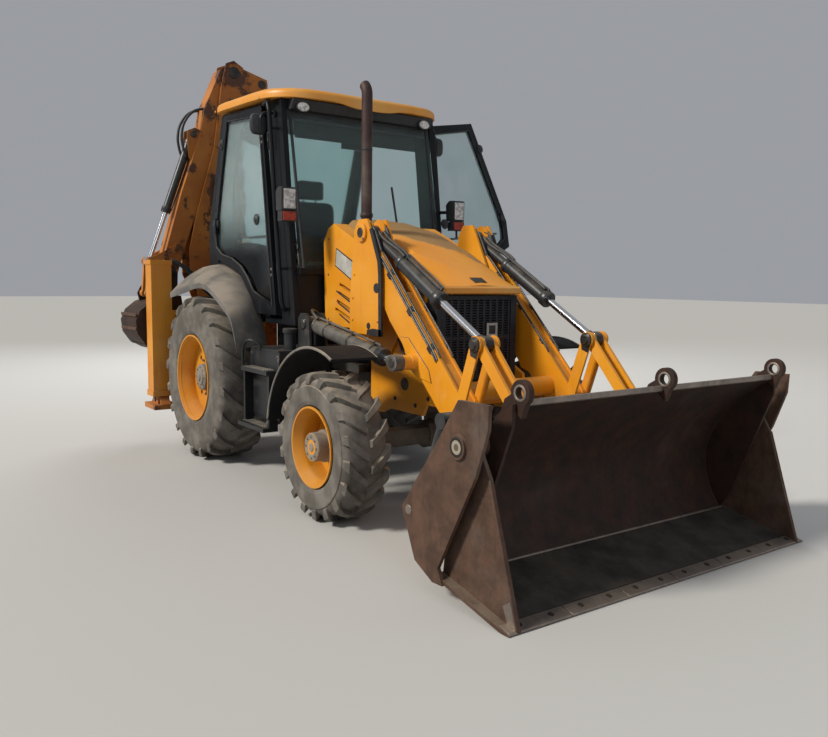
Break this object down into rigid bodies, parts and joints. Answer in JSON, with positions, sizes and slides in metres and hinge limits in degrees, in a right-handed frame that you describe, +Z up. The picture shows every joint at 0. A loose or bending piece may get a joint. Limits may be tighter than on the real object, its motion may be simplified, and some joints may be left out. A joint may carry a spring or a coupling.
{
  "type": "backhoe loader",
  "caption": "Wheeled backhoe loader with a cab, a hinged clamshell loader bucket on a pair of lifting arms, and a side-shifting, slewing digging arm.",
  "frame": {"origin": "centre of the footprint of the parked machine, on the ground under the wheels", "axes": "+X forward, to the loader bucket; +Y to the machine's left; +Z up"},
  "size_m": [5.75, 3.027, 3.675],
  "materials": {
    "yellow_paint": "weathered orange-yellow enamel, dusty, chipped to rust at edges",
    "black_paint": "satin black, dusty",
    "chassis_paint": "dark grey, oily and dusty",
    "faded_paint": "faded orange with rust patches",
    "rusty_steel": "worn steel, brown rust",
    "rod_chrome": "polished ram rod",
    "barrel_black": "dull black ram barrel",
    "tyre_rubber": "dusty rubber",
    "rim_paint": "dusty orange-yellow",
    "window_glass": "slightly tinted",
    "seat_fabric": "dark grey",
    "dark_plastic": "grained",
    "exhaust_steel": "burnt dark brown",
    "lamp_lens": "clear ribbed lens over a dark housing"
  },
  "bodies": {
    "machine": {"chassis": "chassis_paint", "nose": "yellow_paint", "engine": "chassis_paint", "towers": "yellow_paint", "side_panels": "yellow_paint", "grille": "black_paint", "front_axle": "chassis_paint", "rear_axle": "chassis_paint", "cab_frame": "black_paint", "cab_roof": "yellow_paint", "cab_glass": "window_glass", "seat": "seat_fabric", "console": "dark_plastic", "rear_guards": "black_paint", "front_fenders": "black_paint", "side_tanks": "black_paint", "exhaust": "exhaust_steel", "lamps": "lamp_lens", "mirrors": "black_paint", "rear_frame": "faded_paint"},
    "bonnet": {"bonnet": "yellow_paint"},
    "door_right": {"door_right": "black_paint"},
    "door_left": {"door_left": "black_paint"},
    "knuckle_right": {"knuckle_right": "chassis_paint"},
    "knuckle_left": {"knuckle_left": "chassis_paint"},
    "wheel_rear_right": {"rim_rear_right": "rim_paint", "tyre_rear_right": "tyre_rubber"},
    "wheel_rear_left": {"rim_rear_left": "rim_paint", "tyre_rear_left": "tyre_rubber"},
    "wheel_front_right": {"rim_front_right": "rim_paint", "tyre_front_right": "tyre_rubber"},
    "wheel_front_left": {"rim_front_left": "rim_paint", "tyre_front_left": "tyre_rubber"},
    "arms": {"loader_arms": "yellow_paint"},
    "lift_barrels": {"lift_barrels": "barrel_black"},
    "lift_rods": {"lift_rods": "rod_chrome"},
    "tilt_barrels": {"tilt_barrels": "barrel_black"},
    "tilt_rods": {"tilt_rods": "rod_chrome"},
    "levers": {"tilt_levers": "yellow_paint"},
    "links": {"tilt_links": "yellow_paint"},
    "bucket": {"bucket_back": "rusty_steel", "bucket_brackets": "rusty_steel"},
    "clam": {"bucket_clam": "rusty_steel"},
    "clam_barrels": {"clam_barrels": "barrel_black"},
    "clam_rods": {"clam_rods": "rod_chrome"},
    "carriage": {"carriage": "faded_paint"},
    "kingpost": {"kingpost": "faded_paint"},
    "boom": {"boom": "faded_paint"},
    "boom_barrel": {"boom_barrel": "barrel_black"},
    "boom_rod": {"boom_rod": "rod_chrome"},
    "dipper": {"dipper": "faded_paint"},
    "dipper_barrel": {"dipper_barrel": "barrel_black"},
    "dipper_rod": {"dipper_rod": "rod_chrome"},
    "hoe_lever": {"hoe_lever": "faded_paint"},
    "hoe_link": {"hoe_link": "faded_paint"},
    "hoe_barrel": {"hoe_barrel": "barrel_black"},
    "hoe_rod": {"hoe_rod": "rod_chrome"},
    "hoe_bucket": {"hoe_bucket": "rusty_steel"},
    "leg_right": {"leg_right": "faded_paint"},
    "leg_left": {"leg_left": "faded_paint"}
  },
  "joints": [
    {"name": "rear_wheel_right", "type": "hinge", "parent": "machine", "child": "wheel_rear_right", "pos_m": [-1.265, -1.15653, 0.685], "axis": [0, 1, 0], "continuous": true},
    {"name": "steer_right", "type": "hinge", "parent": "machine", "child": "knuckle_right", "pos_m": [0.91, -1.01153, 0.475], "axis": [0, 0, 1], "range_deg": [-35, 35]},
    {"name": "front_wheel_right", "type": "hinge", "parent": "knuckle_right", "child": "wheel_front_right", "pos_m": [0.91, -1.24653, 0.475], "axis": [0, 1, 0], "continuous": true},
    {"name": "rear_wheel_left", "type": "hinge", "parent": "machine", "child": "wheel_rear_left", "pos_m": [-1.265, 0.51348, 0.685], "axis": [0, 1, 0], "continuous": true},
    {"name": "steer_left", "type": "hinge", "parent": "machine", "child": "knuckle_left", "pos_m": [0.91, 0.36847, 0.475], "axis": [0, 0, 1], "range_deg": [-35, 35]},
    {"name": "front_wheel_left", "type": "hinge", "parent": "knuckle_left", "child": "wheel_front_left", "pos_m": [0.91, 0.60347, 0.475], "axis": [0, 1, 0], "continuous": true},
    {"name": "door_right_hinge", "type": "hinge", "parent": "machine", "child": "door_right", "pos_m": [-0.265, -1.02652, 1.25], "axis": [-0.1483, 0, 0.9889], "range_deg": [0, 80]},
    {"name": "door_left_hinge", "type": "hinge", "parent": "machine", "child": "door_left", "pos_m": [-0.265, 0.38348, 1.25], "axis": [-0.1483, 0, 0.9889], "range_deg": [0, 80]},
    {"name": "bonnet_hinge", "type": "hinge", "parent": "machine", "child": "bonnet", "pos_m": [-0.003, -0.32153, 1.95], "axis": [0, -1, 0], "range_deg": [0, 50]},
    {"name": "arm_lift", "type": "hinge", "parent": "machine", "child": "arms", "pos_m": [0.635, -0.32153, 1.84], "axis": [0, -1, 0], "range_deg": [0, 98]},
    {"name": "lift_ram_swing", "type": "hinge", "parent": "machine", "child": "lift_barrels", "pos_m": [0.135, -0.32153, 1.2], "axis": [0, -1, 0], "range_deg": [0, 56.91]},
    {"name": "lift_ram_stroke", "type": "slide", "parent": "lift_barrels", "child": "lift_rods", "axis": [0.9856, 0, -0.169], "range_m": [0, 0.71842]},
    {"name": "bucket_tilt", "type": "hinge", "parent": "arms", "child": "bucket", "pos_m": [2.035, -0.32153, 0.28], "axis": [0, 1, 0], "range_deg": [-40, 40]},
    {"name": "lever_swing", "type": "hinge", "parent": "arms", "child": "levers", "pos_m": [1.665, -0.32153, 0.69], "axis": [0, 1, 0], "range_deg": [-40.01, 40.01]},
    {"name": "link_swing", "type": "hinge", "parent": "levers", "child": "links", "pos_m": [1.831, -0.32153, 1.166], "axis": [0, 1, 0], "range_deg": [-40.01, 40.01]},
    {"name": "tilt_ram_swing", "type": "hinge", "parent": "arms", "child": "tilt_barrels", "pos_m": [0.635, -0.32153, 1.84], "axis": [0, 1, 0], "range_deg": [-3.62, 3.62]},
    {"name": "tilt_ram_stroke", "type": "slide", "parent": "tilt_barrels", "child": "tilt_rods", "axis": [0.8712, 0, -0.491], "range_m": [-0.3127, 0.3127]},
    {"name": "clam_open", "type": "hinge", "parent": "bucket", "child": "clam", "pos_m": [2.52, -0.32153, 0.774], "axis": [0, -1, 0], "range_deg": [0, 40]},
    {"name": "clam_ram_swing", "type": "hinge", "parent": "bucket", "child": "clam_barrels", "pos_m": [2.325, -0.32153, 0.86], "axis": [0, -1, 0], "range_deg": [0, 35.32]},
    {"name": "clam_ram_stroke", "type": "slide", "parent": "clam_barrels", "child": "clam_rods", "axis": [-0.3832, 0, -0.9237], "range_m": [0, 0.13812]},
    {"name": "side_shift", "type": "slide", "parent": "machine", "child": "carriage", "axis": [0, 1, 0], "range_m": [-0.58, 0.58]},
    {"name": "arm_slew", "type": "hinge", "parent": "carriage", "child": "kingpost", "pos_m": [-2.625, -0.32153, 0.6], "axis": [0, 0, -1], "range_deg": [0, 180]},
    {"name": "boom_lower", "type": "hinge", "parent": "kingpost", "child": "boom", "pos_m": [-2.625, -0.57152, 0.75], "axis": [1, 0, 0], "range_deg": [0, 125]},
    {"name": "boom_ram_swing", "type": "hinge", "parent": "kingpost", "child": "boom_barrel", "pos_m": [-2.625, -0.29152, 1.16], "axis": [1, 0, 0], "range_deg": [0, 122.25]},
    {"name": "boom_ram_stroke", "type": "slide", "parent": "boom_barrel", "child": "boom_rod", "axis": [0, 0.0088, 1], "range_m": [0, 0.87785]},
    {"name": "dipper_open", "type": "hinge", "parent": "boom", "child": "dipper", "pos_m": [-2.625, -0.42752, 3.56], "axis": [-1, 0, 0], "range_deg": [0, 95]},
    {"name": "dipper_ram_swing", "type": "hinge", "parent": "boom", "child": "dipper_barrel", "pos_m": [-2.625, -0.24652, 2.45], "axis": [-1, 0, 0], "range_deg": [-25.81, 0]},
    {"name": "dipper_ram_stroke", "type": "slide", "parent": "dipper_barrel", "child": "dipper_rod", "axis": [0, 0.1235, 0.9924], "range_m": [-0.20237, 0]},
    {"name": "hoe_bucket_open", "type": "hinge", "parent": "dipper", "child": "hoe_bucket", "pos_m": [-2.625, -1.11153, 1.56], "axis": [-1, 0, 0], "range_deg": [0, 100]},
    {"name": "hoe_lever_swing", "type": "hinge", "parent": "dipper", "child": "hoe_lever", "pos_m": [-2.625, -1.02652, 1.813], "axis": [-1, 0, 0], "range_deg": [0, 92.47]},
    {"name": "hoe_link_swing", "type": "hinge", "parent": "hoe_lever", "child": "hoe_link", "pos_m": [-2.625, -1.28153, 1.68], "axis": [-1, 0, 0], "range_deg": [-75.12, 0]},
    {"name": "hoe_ram_swing", "type": "hinge", "parent": "dipper", "child": "hoe_barrel", "pos_m": [-2.625, -0.83352, 2.925], "axis": [-1, 0, 0], "range_deg": [0, 0.516]},
    {"name": "hoe_ram_stroke", "type": "slide", "parent": "hoe_barrel", "child": "hoe_rod", "axis": [0, -0.3386, -0.9409], "range_m": [-0.41535, 0]},
    {"name": "leg_right_down", "type": "slide", "parent": "machine", "child": "leg_right", "axis": [0, 0, -1], "range_m": [0, 0.45]},
    {"name": "leg_left_down", "type": "slide", "parent": "machine", "child": "leg_left", "axis": [0, 0, -1], "range_m": [0, 0.45]}
  ],
  "couplings": [
    {"joint": "lift_ram_swing", "follows": "arm_lift", "ratio": 0.58066},
    {"joint": "lift_ram_stroke", "follows": "arm_lift", "m_per_rad": 0.41997},
    {"joint": "lever_swing", "follows": "bucket_tilt", "ratio": 1},
    {"joint": "link_swing", "follows": "bucket_tilt", "ratio": -1},
    {"joint": "tilt_ram_swing", "follows": "bucket_tilt", "ratio": -0.089936},
    {"joint": "tilt_ram_stroke", "follows": "bucket_tilt", "m_per_rad": 0.44762},
    {"joint": "clam_ram_swing", "follows": "clam_open", "ratio": 0.88279},
    {"joint": "clam_ram_stroke", "follows": "clam_open", "m_per_rad": 0.1977},
    {"joint": "boom_ram_swing", "follows": "boom_lower", "ratio": 0.97794},
    {"joint": "boom_ram_stroke", "follows": "boom_lower", "m_per_rad": 0.40233},
    {"joint": "dipper_ram_swing", "follows": "dipper_open", "ratio": -0.27155},
    {"joint": "dipper_ram_stroke", "follows": "dipper_open", "m_per_rad": -0.12199},
    {"joint": "hoe_lever_swing", "follows": "hoe_bucket_open", "ratio": 0.92458},
    {"joint": "hoe_link_swing", "follows": "hoe_bucket_open", "ratio": -0.75107},
    {"joint": "hoe_ram_swing", "follows": "hoe_bucket_open", "ratio": 0.005064},
    {"joint": "hoe_ram_stroke", "follows": "hoe_bucket_open", "m_per_rad": -0.23792}
  ]
}
